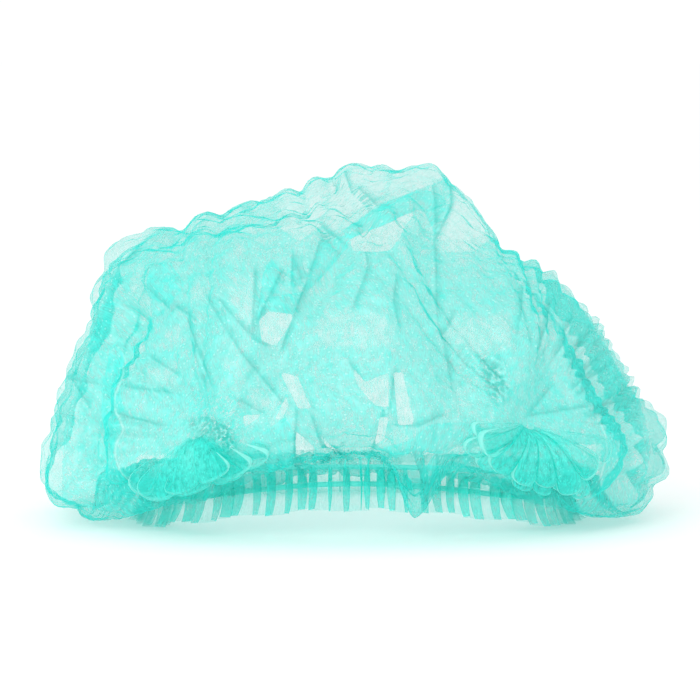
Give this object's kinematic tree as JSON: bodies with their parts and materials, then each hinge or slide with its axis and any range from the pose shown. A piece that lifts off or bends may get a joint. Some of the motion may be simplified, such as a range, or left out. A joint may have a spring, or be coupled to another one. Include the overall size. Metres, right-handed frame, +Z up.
{
  "type": "bouffant surgical cap",
  "caption": "Disposable bouffant cap of thin pleated nonwoven cloth, gathered on an elastic rim with a short frill, puffed open over a hollow for the head.",
  "frame": {"origin": "on the resting plane, under the middle of the whole cap", "axes": "+Z up from the resting plane; +X along the cap's width, to the right as seen from the front; -Y is the front with the arched rim"},
  "size_m": [0.2872, 0.2362, 0.1606],
  "materials": {
    "cloth": "thin see-through spun-bonded nonwoven, turquoise, matt with fine fibres",
    "elastic": "turquoise covered elastic, matt"
  },
  "bodies": {
    "root": {"crown": "cloth", "hem_frill": "cloth", "end_pleats_left": "cloth", "end_pleats_right": "cloth", "elastic_loop": "elastic"}
  },
  "joints": []
}
